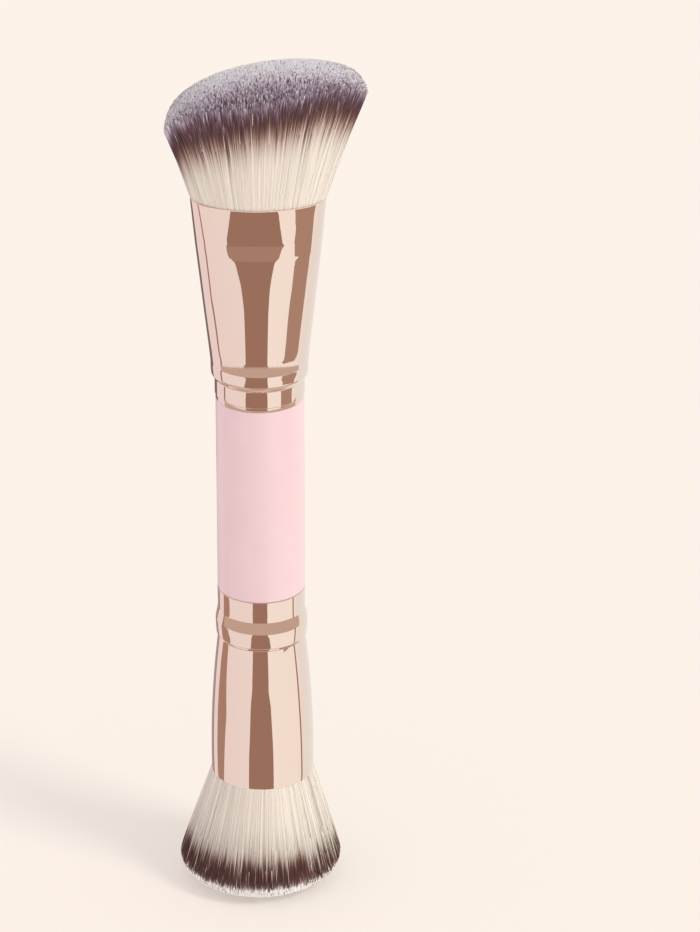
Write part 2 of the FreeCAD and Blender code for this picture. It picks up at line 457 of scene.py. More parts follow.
SLANTED_DYES = (
    (0.0, screen(254, 248, 251)),
    (0.8, screen(246, 234, 242)),
    (1.6, screen(214, 196, 212)),
    (2.4, screen(154, 131, 150)),
    (3.2, screen(106, 82, 96)),
    (4.2, screen(86, 60, 67)),
    (5.4, screen(77, 52, 53)),
    (6.4, screen(85, 59, 55)),
    (7.6, screen(108, 79, 71)),
    (8.9, screen(146, 116, 108)),
    (10.2, screen(186, 157, 146)),
    (11.6, screen(215, 190, 178)),
    (13.0, screen(227, 209, 194)),
    (15.5, screen(243, 226, 209)),
)

ROUND_DYES = (
    (0.0, screen(255, 249, 245)),
    (0.8, screen(254, 244, 239)),
    (1.3, screen(206, 184, 179)),
    (1.8, screen(128, 100, 96)),
    (2.4, screen(90, 62, 58)),
    (3.6, screen(76, 49, 46)),
    (5.1, screen(76, 49, 45)),
    (6.1, screen(84, 56, 52)),
    (6.8, screen(112, 85, 80)),
    (7.6, screen(160, 138, 128)),
    (8.5, screen(202, 183, 169)),
    (10.3, screen(228, 211, 195)),
    (13.0, screen(240, 223, 207)),
    (16.0, screen(247, 229, 212)),
)


def new_piece(
    name: str, points: Points, face_sets: list[np.ndarray], material: bpy.types.Material
) -> bpy.types.Object:
    """Make a smooth mesh piece of the brush.

    Args:
        name: Name of the piece.
        points: Corners in millimetres.
        face_sets: Faces as rows of corner numbers, one array for each number of sides.
        material: Its finish.

    Returns:
        The piece, which rides on the brush's body.
    """
    mesh = bpy.data.meshes.new(name)
    mesh.vertices.add(len(points))
    mesh.vertices.foreach_set("co", (points * MM).astype(np.float32).ravel())
    corners = np.concatenate([faces.ravel() for faces in face_sets])
    sides = np.concatenate([np.full(len(faces), faces.shape[1]) for faces in face_sets])
    mesh.loops.add(len(corners))
    mesh.loops.foreach_set("vertex_index", corners.astype(np.int32))
    mesh.polygons.add(len(sides))
    starts = np.concatenate(([0], np.cumsum(sides)[:-1]))
    mesh.polygons.foreach_set("loop_start", starts.astype(np.int32))
    mesh.update(calc_edges=True)
    mesh.shade_smooth()
    mesh.materials.append(material)
    piece = bpy.data.objects.new(name, mesh)
    bpy.context.scene.collection.objects.link(piece)
    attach(piece, "root")
    return piece


def give_numbers(piece: bpy.types.Object, name: str, values: np.ndarray) -> None:
    """Give each corner of a piece's mesh a number that its finish reads."""
    attribute = piece.data.attributes.new(name, "FLOAT", "POINT")
    attribute.data.foreach_set("value", values.astype(np.float32))


def give_normals(piece: bpy.types.Object, normals: Points) -> None:
    """Light each corner of a piece's mesh as if it faced the given direction."""
    normals /= np.linalg.norm(normals, axis=1, keepdims=True)
    piece.data.normals_split_custom_set_from_vertices(normals)


def eased(corners: list[tuple[float, float, float]], steps: int = 5) -> list[tuple[float, float]]:
    """Round the corners of a closed profile.

    Args:
        corners: Each corner's place across and up, and the length that its round takes of
            both sides.
        steps: Number of chords in a round.

    Returns:
        The profile's points.
    """
    outline = []
    count = len(corners)
    for index, (across, height, ease) in enumerate(corners):
        corner = np.array([across, height])
        if ease == 0:
            outline.append((across, height))
            continue
        before = np.array(corners[index - 1][:2]) - corner
        after = np.array(corners[(index + 1) % count][:2]) - corner
        start = corner + before / np.linalg.norm(before) * ease
        end = corner + after / np.linalg.norm(after) * ease
        for step in range(steps + 1):
            share = step / steps
            place = (1 - share) ** 2 * start + 2 * share * (1 - share) * corner + share**2 * end
            outline.append((float(place[0]), float(place[1])))
    return outline


def bowed(
    start: tuple[float, float], end: tuple[float, float], swell: float, steps: int
) -> list[tuple[float, float, float]]:
    """Draw a gently bowed side of a profile.

    Args:
        start: Place across and up of its first point.
        end: Place across and up of its last point.
        swell: How far its middle stands out.
        steps: Number of chords.

    Returns:
        The points between its ends, as corners that aren't rounded.
    """
    points = []
    for step in range(1, steps):
        share = step / steps
        across = start[0] + (end[0] - start[0]) * share + swell * 4 * share * (1 - share)
        points.append((across, start[1] + (end[1] - start[1]) * share, 0.0))
    return points


def ring_directions(count: int) -> Points:
    """Level unit directions round the axis, as rows of across and deep."""
    turns = np.arange(count) * 2 * math.pi / count
    return np.stack([np.cos(turns), np.sin(turns)], axis=1)


def oval(half_width: float, half_depth: float, face_radius: float, directions: Points) -> Points:
    """Points of an oval of four arcs at which it faces the given directions.

    Args:
        half_width: Half width of the oval.
        half_depth: Half depth of the oval.
        face_radius: Radius of its long arcs, which is more than the half width.
        directions: Level unit directions.

    Returns:
        The points, as rows of across and deep.
    """
    spare = 2 * face_radius * half_depth - half_width**2 - half_depth**2
    end_radius = spare / (2 * (face_radius - half_width))
    end_centre = half_width - end_radius
    face_centre = half_depth - face_radius
    across, deep = np.abs(directions[:, 0]), np.abs(directions[:, 1])
    on_face = deep * end_centre > across * -face_centre
    points = np.where(
        on_face[:, None],
        np.column_stack([across * face_radius, face_centre + deep * face_radius]),
        np.column_stack([end_centre + across * end_radius, deep * end_radius]),
    )
    return points * np.sign(directions)


def band(first: int, second: int, count: int) -> np.ndarray:
    """Four-sided faces between two rings of points.

    Args:
        first: Number of the first ring's first point.
        second: Number of the second ring's first point.
        count: Points in each ring.

    Returns:
        The faces, which face outwards where the second ring lies above the first.
    """
    index = np.arange(count)
    after = (index + 1) % count
    return np.stack([first + index, first + after, second + after, second + index], axis=1)


def sleeve(rings: list[Points]) -> tuple[Points, list[np.ndarray]]:
    """Join rings of points into a shell that closes on itself.

    Args:
        rings: Rings up the outside and down the inside.

    Returns:
        The shell's points and faces.
    """
    count = len(rings[0])
    faces = [
        band(index * count, (index + 1) % len(rings) * count, count) for index in range(len(rings))
    ]
    return np.concatenate(rings), [np.concatenate(faces)]


def capped(rings: list[Points]) -> tuple[Points, list[np.ndarray]]:
    """Join rings of points into a solid whose ends close at the middle of the end rings.

    Args:
        rings: Rings from the bottom to the top.

    Returns:
        The solid's points and faces.
    """
    count = len(rings[0])
    last = (len(rings) - 1) * count
    walls = [band(index * count, (index + 1) * count, count) for index in range(len(rings) - 1)]
    ends = np.stack([rings[0].mean(axis=0), rings[-1].mean(axis=0)])
    foot = len(rings) * count
    index = np.arange(count)
    after = (index + 1) % count
    fans = [
        np.stack([np.full(count, foot), after, index], axis=1),
        np.stack([np.full(count, foot + 1), last + index, last + after], axis=1),
    ]
    return np.concatenate([*rings, ends]), [np.concatenate(walls), np.concatenate(fans)]


def turned_rings(outline: list[tuple[float, float]], directions: Points) -> list[Points]:
    """Rings of a turned piece, one for each point of its outline.

    Args:
        outline: Radius and height of each ring.
        directions: Level unit directions round the axis.

    Returns:
        The rings.
    """
    return [
        np.column_stack([directions * radius, np.full(len(directions), height)])
        for radius, height in outline
    ]


@dataclass
class Handle:
    """Turned and lacquered handle with a spigot into each ferrule."""

    finish: LacquerFinish
    radius: float = 9.0
    foot: float = 67.45
    head: float = 110.3
    spigot_radius: float = 8.5
    lower_spigot: float = 7.5
    upper_spigot: float = 9.45
    shoulder_round: float = 0.28
    spigot_round: float = 0.6
    sharp_angle: float = 50.0
    facets: int = 192

    def build(self) -> bpy.types.Object:
        """Turn the handle.

        Returns:
            The piece, which stands for its node.
        """
        outline = eased(
            [
                (self.spigot_radius, self.foot - self.lower_spigot, self.spigot_round),
                (self.spigot_radius, self.foot, 0.0),
                (self.radius, self.foot, self.shoulder_round),
                (self.radius, self.head, self.shoulder_round),
                (self.spigot_radius, self.head, 0.0),
                (self.spigot_radius, self.head + self.upper_spigot, self.spigot_round),
                (0.0, self.head + self.upper_spigot, 0.0),
                (0.0, self.foot - self.lower_spigot, 0.0),
            ]
        )[:-2]
        points, faces = capped(turned_rings(outline, ring_directions(self.facets)))
        piece = new_piece("handle_turned", points, faces, self.finish.make())
        piece.data.set_sharp_from_angle(angle=math.radians(self.sharp_angle))
        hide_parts("handle")
        return piece


@dataclass
class LowerFerrule:
    """Round drawn ferrule: a bowed barrel, a groove, a rolled bead, a collar and a lip."""

    material: bpy.types.Material
    mouth: tuple[float, float] = (10.6, 24.9)
    neck: tuple[float, float] = (9.03, 56.45)
    groove: tuple[float, float] = (8.92, 56.75)
    bead_foot: tuple[float, float] = (9.34, 57.0)
    bead_head: tuple[float, float] = (9.48, 60.35)
    collar: tuple[float, float] = (9.0, 62.85)
    lip: tuple[float, float] = (9.03, 66.6)
    lip_rise: float = 2.4
    rim_height: float = 67.45
    barrel_swell: float = 0.56
    bead_swell: float = 0.05
    wall: float = 0.4
    facets: int = 160
    barrel_chords: int = 28
    bead_chords: int = 8

    def outline(self) -> list[tuple[float, float]]:
        """Profile of the drawn tube, up its outside and down its inside.

        Returns:
            Radius and height of each point.
        """
        mouth_bore = (self.mouth[0] - self.wall, self.mouth[1])
        neck_bore = (self.collar[0] - self.wall, self.neck[1])
        lip_radius, lip_height = self.lip
        return eased(
            [
                (*self.mouth, 0.16),
                *bowed(self.mouth, self.neck, self.barrel_swell, self.barrel_chords),
                (*self.neck, 0.12),
                (*self.groove, 0.04),
                (*self.bead_foot, 0.12),
                *bowed(self.bead_foot, self.bead_head, self.bead_swell, self.bead_chords),
                (*self.bead_head, 0.14),
                (*self.collar, 0.16),
                (self.collar[0], lip_height - self.lip_rise, 0.5),
                (lip_radius, lip_height, 0.4),
                (lip_radius, self.rim_height, 0.1),
                (neck_bore[0], self.rim_height, 0.1),
                (*neck_bore, 0.3),
                *bowed(neck_bore, mouth_bore, self.barrel_swell, self.barrel_chords // 2),
                (*mouth_bore, 0.16),
            ]
        )

    def build(self) -> bpy.types.Object:
        """Turn the ferrule.

        Returns:
            The piece, which stands for its node.
        """
        points, faces = sleeve(turned_rings(self.outline(), ring_directions(self.facets)))
        piece = new_piece("lower_ferrule_drawn", points, faces, self.material)
        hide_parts("lower_ferrule")
        return piece


@dataclass
class UpperFerrule:
    """Drawn ferrule that starts round, widens to an oval and is pressed flatter at its mouth."""

    material: bpy.types.Material
    foot: float = 110.3
    lip: tuple[float, float] = (9.0, 111.35)
    collar: tuple[float, float] = (9.15, 114.85)
    bead_foot: tuple[float, float] = (9.84, 115.8)
    bead_head: tuple[float, float] = (9.93, 118.35)
    root: tuple[float, float] = (10.22, 121.2)
    heights: tuple[float, ...] = (121.2, 143.9, 147.0, 154.1)
    half_widths: tuple[float, ...] = (10.22, 12.74, 13.03, 13.7)
    half_depths: tuple[float, ...] = (10.22, 9.98, 9.82, 9.0)
    face_height: float = 147.0
    face_radius: float = 24.6
    mouth_face_radius: float = 20.9
    face_reach: float = 5.2
    fold: float = 0.45
    fold_shares: tuple[float, ...] = (-1, -0.6, -0.2, 0.2, 0.6, 1)
    lip_edge: float = 0.12
    bead_swell: float = 0.03
    wall: float = 0.4
    facets: int = 256
    bead_chords: int = 6
    climb_rings: int = 46
    inner_step: int = 3

    def section(self, height: float) -> tuple[float, float, float]:
        """Size of the oval at a height on the outside.

        Args:
            height: Height above the floor.

        Returns:
            Half width, half depth and the radius of its front and back faces.
        """
        half_width = self.folded(height, self.half_widths)
        half_depth = self.folded(height, self.half_depths)
        rise = height - self.face_height
        if rise < 0:
            flattening = self.face_radius - self.folded(self.face_height, self.half_widths)
            face = half_width + flattening * math.exp(rise / self.face_reach)
        else:
            share = rise / (self.heights[-1] - self.face_height)
            face = self.face_radius + (self.mouth_face_radius - self.face_radius) * share
        return half_width, half_depth, face

    def folded(self, height: float, sizes: tuple[float, ...]) -> float:
        """Size at a height, between the sizes at the wall's folds, with each fold eased.

        Args:
            height: Height above the floor.
            sizes: Size at each of the heights of the folds.

        Returns:
            The size.
        """
        value = float(np.interp(height, self.heights, sizes))
        slopes = np.diff(sizes) / np.diff(self.heights)
        for middle, before, after in zip(self.heights[1:-1], slopes[:-1], slopes[1:]):
            nearness = max(1 - abs(height - middle) / self.fold, 0.0)
            value += (after - before) * self.fold * nearness**2 / 4
        return value

    def ring(self, across: float, height: float, directions: Points) -> Points:
        """Ring of points where the wall's outline, told as a radius beside its root, has a point.

        Args:
            across: Radius that the outline has there.
            height: Height above the floor.
            directions: Level unit directions that the ring's points face.

        Returns:
            The ring.
        """
        if height <= self.root[1]:
            level = directions * across
        else:
            half_width, half_depth, face = self.section(height)
            inset = across - self.root[0]
            level = oval(half_width, half_depth, face, directions) + directions * inset
        return np.column_stack([level, np.full(len(directions), height)])

    def outline(self) -> list[tuple[float, float]]:
        """Profile of the wall as if the ferrule stayed round, up its outside and down its inside.

        Returns:
            Radius and height of each point.
        """
        root_radius, root_height = self.root
        mouth_height = self.heights[-1]
        bore = self.lip[0] - self.wall
        top_bore = root_radius - self.wall
        climb = list(np.linspace(root_height, mouth_height, self.climb_rings)[1:-1])
        for middle in self.heights[1:-1]:
            climb += [middle + self.fold * share for share in self.fold_shares]
        climb.sort()
        return eased(
            [
                (self.lip[0], self.foot, 0.08),
                (self.lip[0], self.lip[1] - self.lip_edge, 0.05),
                (self.collar[0], self.lip[1], 0.05),
                (*self.collar, 0.12),
                (*self.bead_foot, 0.12),
                *bowed(self.bead_foot, self.bead_head, self.bead_swell, self.bead_chords),
                (*self.bead_head, 0.14),
                (root_radius, root_height, 0.16),
                *[(root_radius, float(height), 0.0) for height in climb],
                (root_radius, mouth_height, 0.14),
                (top_bore, mouth_height, 0.14),
                *[(top_bore, float(height), 0.0) for height in climb[:: -self.inner_step]],
                (top_bore, root_height, 0.2),
                (bore, self.bead_foot[1], 0.3),
                (bore, self.foot, 0.08),
            ]
        )

    def build(self) -> bpy.types.Object:
        """Draw the ferrule.

        Returns:
            The piece, which stands for its node.
        """
        directions = ring_directions(self.facets)
        rings = [self.ring(across, height, directions) for across, height in self.outline()]
        points, faces = sleeve(rings)
        piece = new_piece("upper_ferrule_drawn", points, faces, self.material)
        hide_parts("upper_ferrule")
        return piece


@dataclass(frozen=True)
class Layer:
    """One layer of a tuft's fibres, told by where they root and how unevenly they grow."""

    name: str
    count: int
    inner: float
    depth: float
    knots: tuple[float, ...]
    calm: float
    clump: float
    pull: float
    ragged: float
    short_share: float = 0.0
    short_reach: float = 0.0
    thickness: float = 0.072
    tip_width: float = 0.3


@dataclass
class Strands:
    """Fibres of a layer, as rows of numbers with one row for each fibre."""

    root: Points
    lean: Points
    start: np.ndarray
    trim: np.ndarray
    thickness: np.ndarray
    dye_and_light: np.ndarray
    tone: np.ndarray


@dataclass
class Tuft:
    """Tuft of fibres whose roots fill a ferrule's mouth, told by their places in a unit disc."""

    material: bpy.types.Material
    seed: int
    tips_up: float = 1.0
    taper: float = 2.6
    dye_spread: float = 0.4
    stray_share: float = 0.14
    # More pale strays on the right paint the lamp's rim light on that side.
    painted_light_strays: float = 0.6
    stray_dye: float = 4.0
    least_stray_dye: float = 0.5
    tone_spread: float = 0.4
    least_pull: float = 0.1
    waver: float = 0.005
    root_depth: float = 1.5
    depth_range: tuple[float, float] = (0.8, 1.0)
    thickness_range: tuple[float, float] = (0.85, 1.2)
    longest_cut: float = 0.55
    cross_direction: tuple[float, float, float] = (0.31, 0.95, 0.05)
    side_power: float = 8.0
    dome_reach: float = 12.0
    core_share: float = 0.975
    core_depth: float = 2.2
    core_root: float = 3.0
    core_root_dye: float = 20.0
    # The core's tones lean dark: random tone with a painted shade between the fibres.
    core_tones_and_shade: tuple[float, float] = (-0.8, 0.3)

    def tip_axes(self) -> np.ndarray:
        """Half width and half depth of the tuft near its tips."""
        raise NotImplementedError

    def fibre(self, place: Points, below: np.ndarray) -> Points:
        """Points on fibres, at distances below their tips.

        Args:
            place: Places of the fibres in the unit disc.
            below: Distances below the tips.

        Returns:
            The points, in millimetres.
        """
        raise NotImplementedError

    def length(self, place: Points) -> np.ndarray:
        """Free length of fibres, from the ferrule's mouth to their tips."""
        raise NotImplementedError

    def dye_and_light_shift(self, place: Points) -> np.ndarray:
        """How far each fibre's colour ramp is moved: for tips cut into the dye, which leaves less
        of the pale end, and on the slanted tuft also for painted light and shade.
        """
        raise NotImplementedError

    def unevenness(self, place: Points) -> np.ndarray:
        """How much of their layer's unevenness the fibres' clumps have, from 0 to 1."""
        return np.ones(len(place))

    def scatter(self, count: int, inner: float, rng: np.random.Generator) -> Points:
        """Scatter places evenly over the outer part of the unit disc.

        Args:
            count: Number of places.
            inner: Inner radius of that part.
            rng: Source of chance.

        Returns:
            The places.
        """
        radius = np.sqrt(rng.uniform(inner**2, 1.0, count))
        turn = rng.uniform(0, 2 * math.pi, count)
        return np.stack([radius * np.cos(turn), radius * np.sin(turn)], axis=1)

    def gather(self, layer: Layer, rng: np.random.Generator) -> Strands:
        """Scatter a layer's fibres and draw their tips together into small clumps.

        Args:
            layer: The layer.
            rng: Source of chance.

        Returns:
            The fibres.
        """
        count = layer.count
        root = self.scatter(count, layer.inner, rng)
        axes = self.tip_axes()
        ring_area = math.pi * axes[0] * axes[1] * (1 - layer.inner**2)
        clumps = int(ring_area / layer.clump**2)
        centres = self.scatter(clumps, layer.inner, rng)
        tree = KDTree(clumps)
        for index, centre in enumerate(centres * axes):
            tree.insert((*centre, 0.0), index)
        tree.balance()
        clump_of = np.array([tree.find((*spot, 0.0))[1] for spot in root * axes])
        drawn = rng.uniform(self.least_pull, layer.pull, clumps)[clump_of]
        lean = (centres[clump_of] - root) * drawn[:, None]
        lean += rng.normal(0, self.waver, (count, 2))
        length = self.length(root)
        start = length + self.root_depth
        if layer.depth:
            start = np.minimum(length, layer.depth * rng.uniform(*self.depth_range, count))
        cut = np.abs(rng.normal(0, layer.ragged, count))
        short = (rng.random(clumps) < layer.short_share) * self.unevenness(centres)
        cut += (short * rng.uniform(0, layer.short_reach, clumps))[clump_of]
        # Painted rim light: pale strays grow more common towards the lamp's side on the right.
        painted_light_strays = 1 + self.painted_light_strays * np.clip(root[:, 0] * 2 - 1, 0, 1)
        stray = rng.random(count) < self.stray_share * painted_light_strays
        stray_dye = rng.uniform(self.least_stray_dye, self.stray_dye, count)
        # The shift carries dye and, on the slanted tuft, painted light and shade.
        dye_and_light = self.dye_and_light_shift(root) + stray * stray_dye
        dye_and_light += rng.normal(0, self.dye_spread, clumps)[clump_of]
        dye_and_light += rng.normal(0, self.dye_spread, count)
        tone = rng.normal(0, self.tone_spread, clumps)[clump_of]
        tone = tone + rng.normal(0, self.tone_spread, count)
        return Strands(
            root=root,
            lean=lean,
            start=start,
            trim=np.minimum(cut, start * self.longest_cut),
            thickness=layer.thickness * rng.uniform(*self.thickness_range, count),
            dye_and_light=dye_and_light,
            tone=np.clip(tone, -1, 1),
        )

    def grow(self, layer: Layer, rng: np.random.Generator) -> bpy.types.Object:
        """Make a layer's closed three-sided fibres, which taper to their tips.

        Args:
            layer: The layer.
            rng: Source of chance.

        Returns:
            The piece.
        """
        strands = self.gather(layer, rng)
        count = layer.count
        places, belows, facings = [], [], []
        for share in (*layer.knots, 1.0):
            below = strands.trim + (strands.start - strands.trim) * (1 - share)
            places.append(self.fibre(strands.root + strands.lean * share**2, below))
            belows.append(below - strands.trim)
            facings.append(self.facing(strands.root, below))
        along = places[-1] - places[0]
        along /= np.linalg.norm(along, axis=1, keepdims=True)
        side = np.cross(along, np.array(self.cross_direction))
        side /= np.linalg.norm(side, axis=1, keepdims=True)
        other = np.cross(along, side)
        turn = rng.uniform(0, 2 * math.pi, count)
        rows, normals = [], []
        for place, below, facing in zip(places[:-1], belows[:-1], facings[:-1]):
            swell = layer.tip_width + (1 - layer.tip_width) * below / self.taper
            radius = strands.thickness * np.clip(swell, 0, 1)
            for corner in range(3):
                angle = turn + corner * 2 * math.pi / 3
                out = side * np.cos(angle)[:, None] + other * np.sin(angle)[:, None]
                rows.append(place + out * radius[:, None])
                normals.append(out * (1 - layer.calm) + facing * layer.calm)
        rows.append(places[-1])
        normals.append(facings[-1])
        points = np.stack(rows, axis=1)
        piece = new_piece(
            layer.name,
            points.reshape(-1, 3),
            self.strand_faces(count, len(layer.knots)),
            self.material,
        )
        give_normals(piece, np.stack(normals, axis=1).reshape(-1, 3))
        distances = [np.repeat(below[:, None], 3, axis=1) for below in belows[:-1]]
        # from_tip adds each fibre's shift to its distance from the tip, painted light and shade
        # included.
        from_tip = np.concatenate([*distances, belows[-1][:, None]], axis=1) + strands.dye_and_light[:, None]
        give_numbers(piece, "from_tip", from_tip.ravel())
        give_numbers(piece, "tone", np.repeat(strands.tone, points.shape[1]))
        return piece

    @staticmethod
    def strand_faces(count: int, rings: int) -> list[np.ndarray]:
        """Faces of closed three-sided fibres.

        Args:
            count: Number of fibres.
            rings: Rings of corners on each, below the corner at its tip.

        Returns:
            The four-sided faces, if there are any, and the three-sided ones.
        """
        stride = rings * 3 + 1
        base = np.arange(count)[:, None] * stride
        quads = []
        for ring in range(rings - 1):
            for corner in range(3):
                low, low_after = ring * 3 + corner, ring * 3 + (corner + 1) % 3
                quads.append(base + np.array([[low, low_after, low_after + 3, low + 3]]))
        last = (rings - 1) * 3
        ends = [base + np.array([[0, 2, 1]])]
        for corner in range(3):
            ends.append(base + np.array([[last + corner, last + (corner + 1) % 3, stride - 1]]))
        faces = [np.concatenate(quads)] if quads else []
        return [*faces, np.concatenate(ends)]

    def facing(self, place: Points, below: np.ndarray) -> Points:
        """Directions that fibres' surfaces take on in the light at distances below their tips.

        Args:
            place: Places of the fibres in the unit disc.
            below: Distances below the tips.

        Returns:
            Unit directions, of the dome at the tips of inner fibres and of the sides elsewhere.
        """
        axes = self.tip_axes()
        sides = np.column_stack([place / axes, np.zeros(len(place))])
        sides /= np.linalg.norm(sides, axis=1, keepdims=True) + TINY
        share = np.hypot(place[:, 0], place[:, 1]) ** self.side_power
        weight = np.clip(share + below / self.dome_reach, 0, 1)[:, None]
        blend = self.dome_facing(place) * (1 - weight) + sides * weight
        return blend / (np.linalg.norm(blend, axis=1, keepdims=True) + TINY)

    def dome_facing(self, place: Points) -> Points:
        """Directions in which the dome of the tips faces.

        Args:
            place: Places in the unit disc.

        Returns:
            Unit directions.
        """
        zero = np.zeros(len(place))
        step = 0.01
        middle = self.fibre(place, zero)
        across = self.fibre(place + [step, 0.0], zero) - middle
        deep = self.fibre(place + [0.0, step], zero) - middle
        normal = np.cross(across, deep) * self.tips_up
        return normal / np.linalg.norm(normal, axis=1, keepdims=True)

    def core(self, name: str, facets: int = 180, layers: int = 20) -> bpy.types.Object:
        """Fill the tuft behind its outer fibres, in tones that lean dark as a painted shade
        between them.

        Args:
            name: Name of the piece.
            facets: Number of columns round the fill.
            layers: Number of rings up its side and over its dome.

        Returns:
            The piece.
        """
        rng = np.random.default_rng(self.seed)
        directions = ring_directions(facets)
        depth = self.core_depth
        place = directions * self.core_share
        length = self.length(place)
        rings, dyes = [], []
        for step in range(layers + 1):
            below = depth + (length + self.core_root) * (1 - step / layers)
            rings.append(self.fibre(place, below))
            dyes.append(below + self.dye_and_light_shift(place))
        for step in range(1, layers):
            place = directions * self.core_share * (1 - step / layers)
            rings.append(self.fibre(place, np.full(facets, depth)))
            dyes.append(depth + self.dye_and_light_shift(place))
        points, faces = capped(rings)
        piece = new_piece(name, points, faces, self.material)
        give_numbers(piece, "from_tip", np.concatenate([*dyes, [self.core_root_dye, depth]]))
        # Painted shade: the core's tones lean dark, for the gaps between the outer fibres.
        tone = np.tile(rng.uniform(*self.core_tones_and_shade, facets), len(rings))
        give_numbers(piece, "tone", np.concatenate([tone, [0.0, 0.0]]))
        return piece


@dataclass
class SlantedTuft(Tuft):
    """Broad tuft with a slanted dome, which fans out above the upper ferrule's oval mouth."""

    mouth_height: float = 154.1
    half_width: float = 13.2
    half_depth: float = 8.5
    crown: float = 26.2
    slant: float = 4.0
    side_drop: float = 6.5
    edge_drop: float = 1.6
    face_drop: float = 3.4
    side_flare: float = 10.2
    face_flare: float = 1.8
    side_curve: float = 2.15
    edge_curve: int = 9
    face_curve: float = 4.2
    tip_flare_share: float = 0.75
    # Painted light and shade over the dome: its back is paler and its front darker.
    dome_painted_light: float = 2.4
    dome_painted_light_range: tuple[float, float] = (-0.75, 0.8)
    high_side_shift: float = 0.8
    least_unevenness: float = 0.04
    layers: tuple[Layer, ...] = (
        Layer(
            name="upper_tuft_sides",
            count=9500,
            inner=0.94,
            depth=0.0,
            knots=(0.0, 0.6, 0.94),
            calm=0.8,
            clump=0.26,
            pull=0.65,
            ragged=0.3,
            short_share=0.4,
            short_reach=3.0,
        ),
        Layer(
            name="upper_tuft_shoulder",
            count=17000,
            inner=0.72,
            depth=9.0,
            knots=(0.0, 0.86),
            calm=0.5,
            clump=0.26,
            pull=0.9,
            ragged=0.3,
            short_share=0.4,
            short_reach=3.0,
        ),
        Layer(
            name="upper_tuft_dome",
            count=18500,
            inner=0.0,
            depth=4.5,
            knots=(0.0, 0.95),
            calm=0.3,
            clump=0.26,
            pull=0.7,
            ragged=0.08,
            short_share=0.4,
            short_reach=2.0,
            thickness=0.095,
            tip_width=0.65,
        ),
    )

    def tip_axes(self) -> np.ndarray:
        """Half width and half depth of the tuft near its tips."""
        half_width = self.half_width + self.side_flare * self.tip_flare_share
        return np.array([half_width, self.half_depth + self.face_flare])

    def length(self, place: Points) -> np.ndarray:
        """Height of the tips above the mouth.

        Args:
            place: Places of the fibres in the unit disc.

        Returns:
            The heights.
        """
        wide, far = np.abs(place[:, 0]), np.abs(place[:, 1])
        drop = self.side_drop * wide**self.side_curve + self.edge_drop * wide**self.edge_curve
        drop = drop + self.face_drop * far**self.face_curve
        return self.crown + self.slant * place[:, 0] - drop

    def dye_and_light_shift(self, place: Points) -> np.ndarray:
        """How far the fibres' colour ramp is moved: painted light and shade that leave the back of
        the dome paler and the front darker, as if lit from above and behind, and a further shift
        on the high side.

        Args:
            place: Places of the fibres in the unit disc.

        Returns:
            The shifts, which are below 0 at the back.
        """
        # Painted light and shade: paler at the back of the dome, darker at the front.
        front = np.clip(-place[:, 1], *self.dome_painted_light_range)
        high_side = np.clip(place[:, 0] * 2 - 0.8, 0, 1)
        return self.dome_painted_light * front + self.high_side_shift * high_side

    def unevenness(self, place: Points) -> np.ndarray:
        """How much of their layer's unevenness clumps have, which is little on the crown."""
        return np.clip(np.abs(place[:, 1]) * 1.8 - 0.3, self.least_unevenness, 1)

    def fibre(self, place: Points, below: np.ndarray) -> Points:
        """Points on fibres, at distances below their tips.

        Args:
            place: Places of the fibres in the unit disc.
            below: Distances below the tips.

        Returns:
            The points, in millimetres.
        """
        height = self.length(place) - below
        share = np.maximum(height, 0) / self.crown
        return np.stack(
            [
                place[:, 0] * (self.half_width + self.side_flare * share),
                place[:, 1] * (self.half_depth + self.face_flare * share),
                self.mouth_height + height,
            ],
            axis=1,
        )

    def build(self) -> list[bpy.types.Object]:
        """Fill the tuft and grow its fibres.

        Returns:
            Its pieces.
        """
        core = self.core("upper_tuft_core")
        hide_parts("upper_fibres")
        rng = np.random.default_rng(self.seed)
        return [core, *(self.grow(layer, rng) for layer in self.layers)]


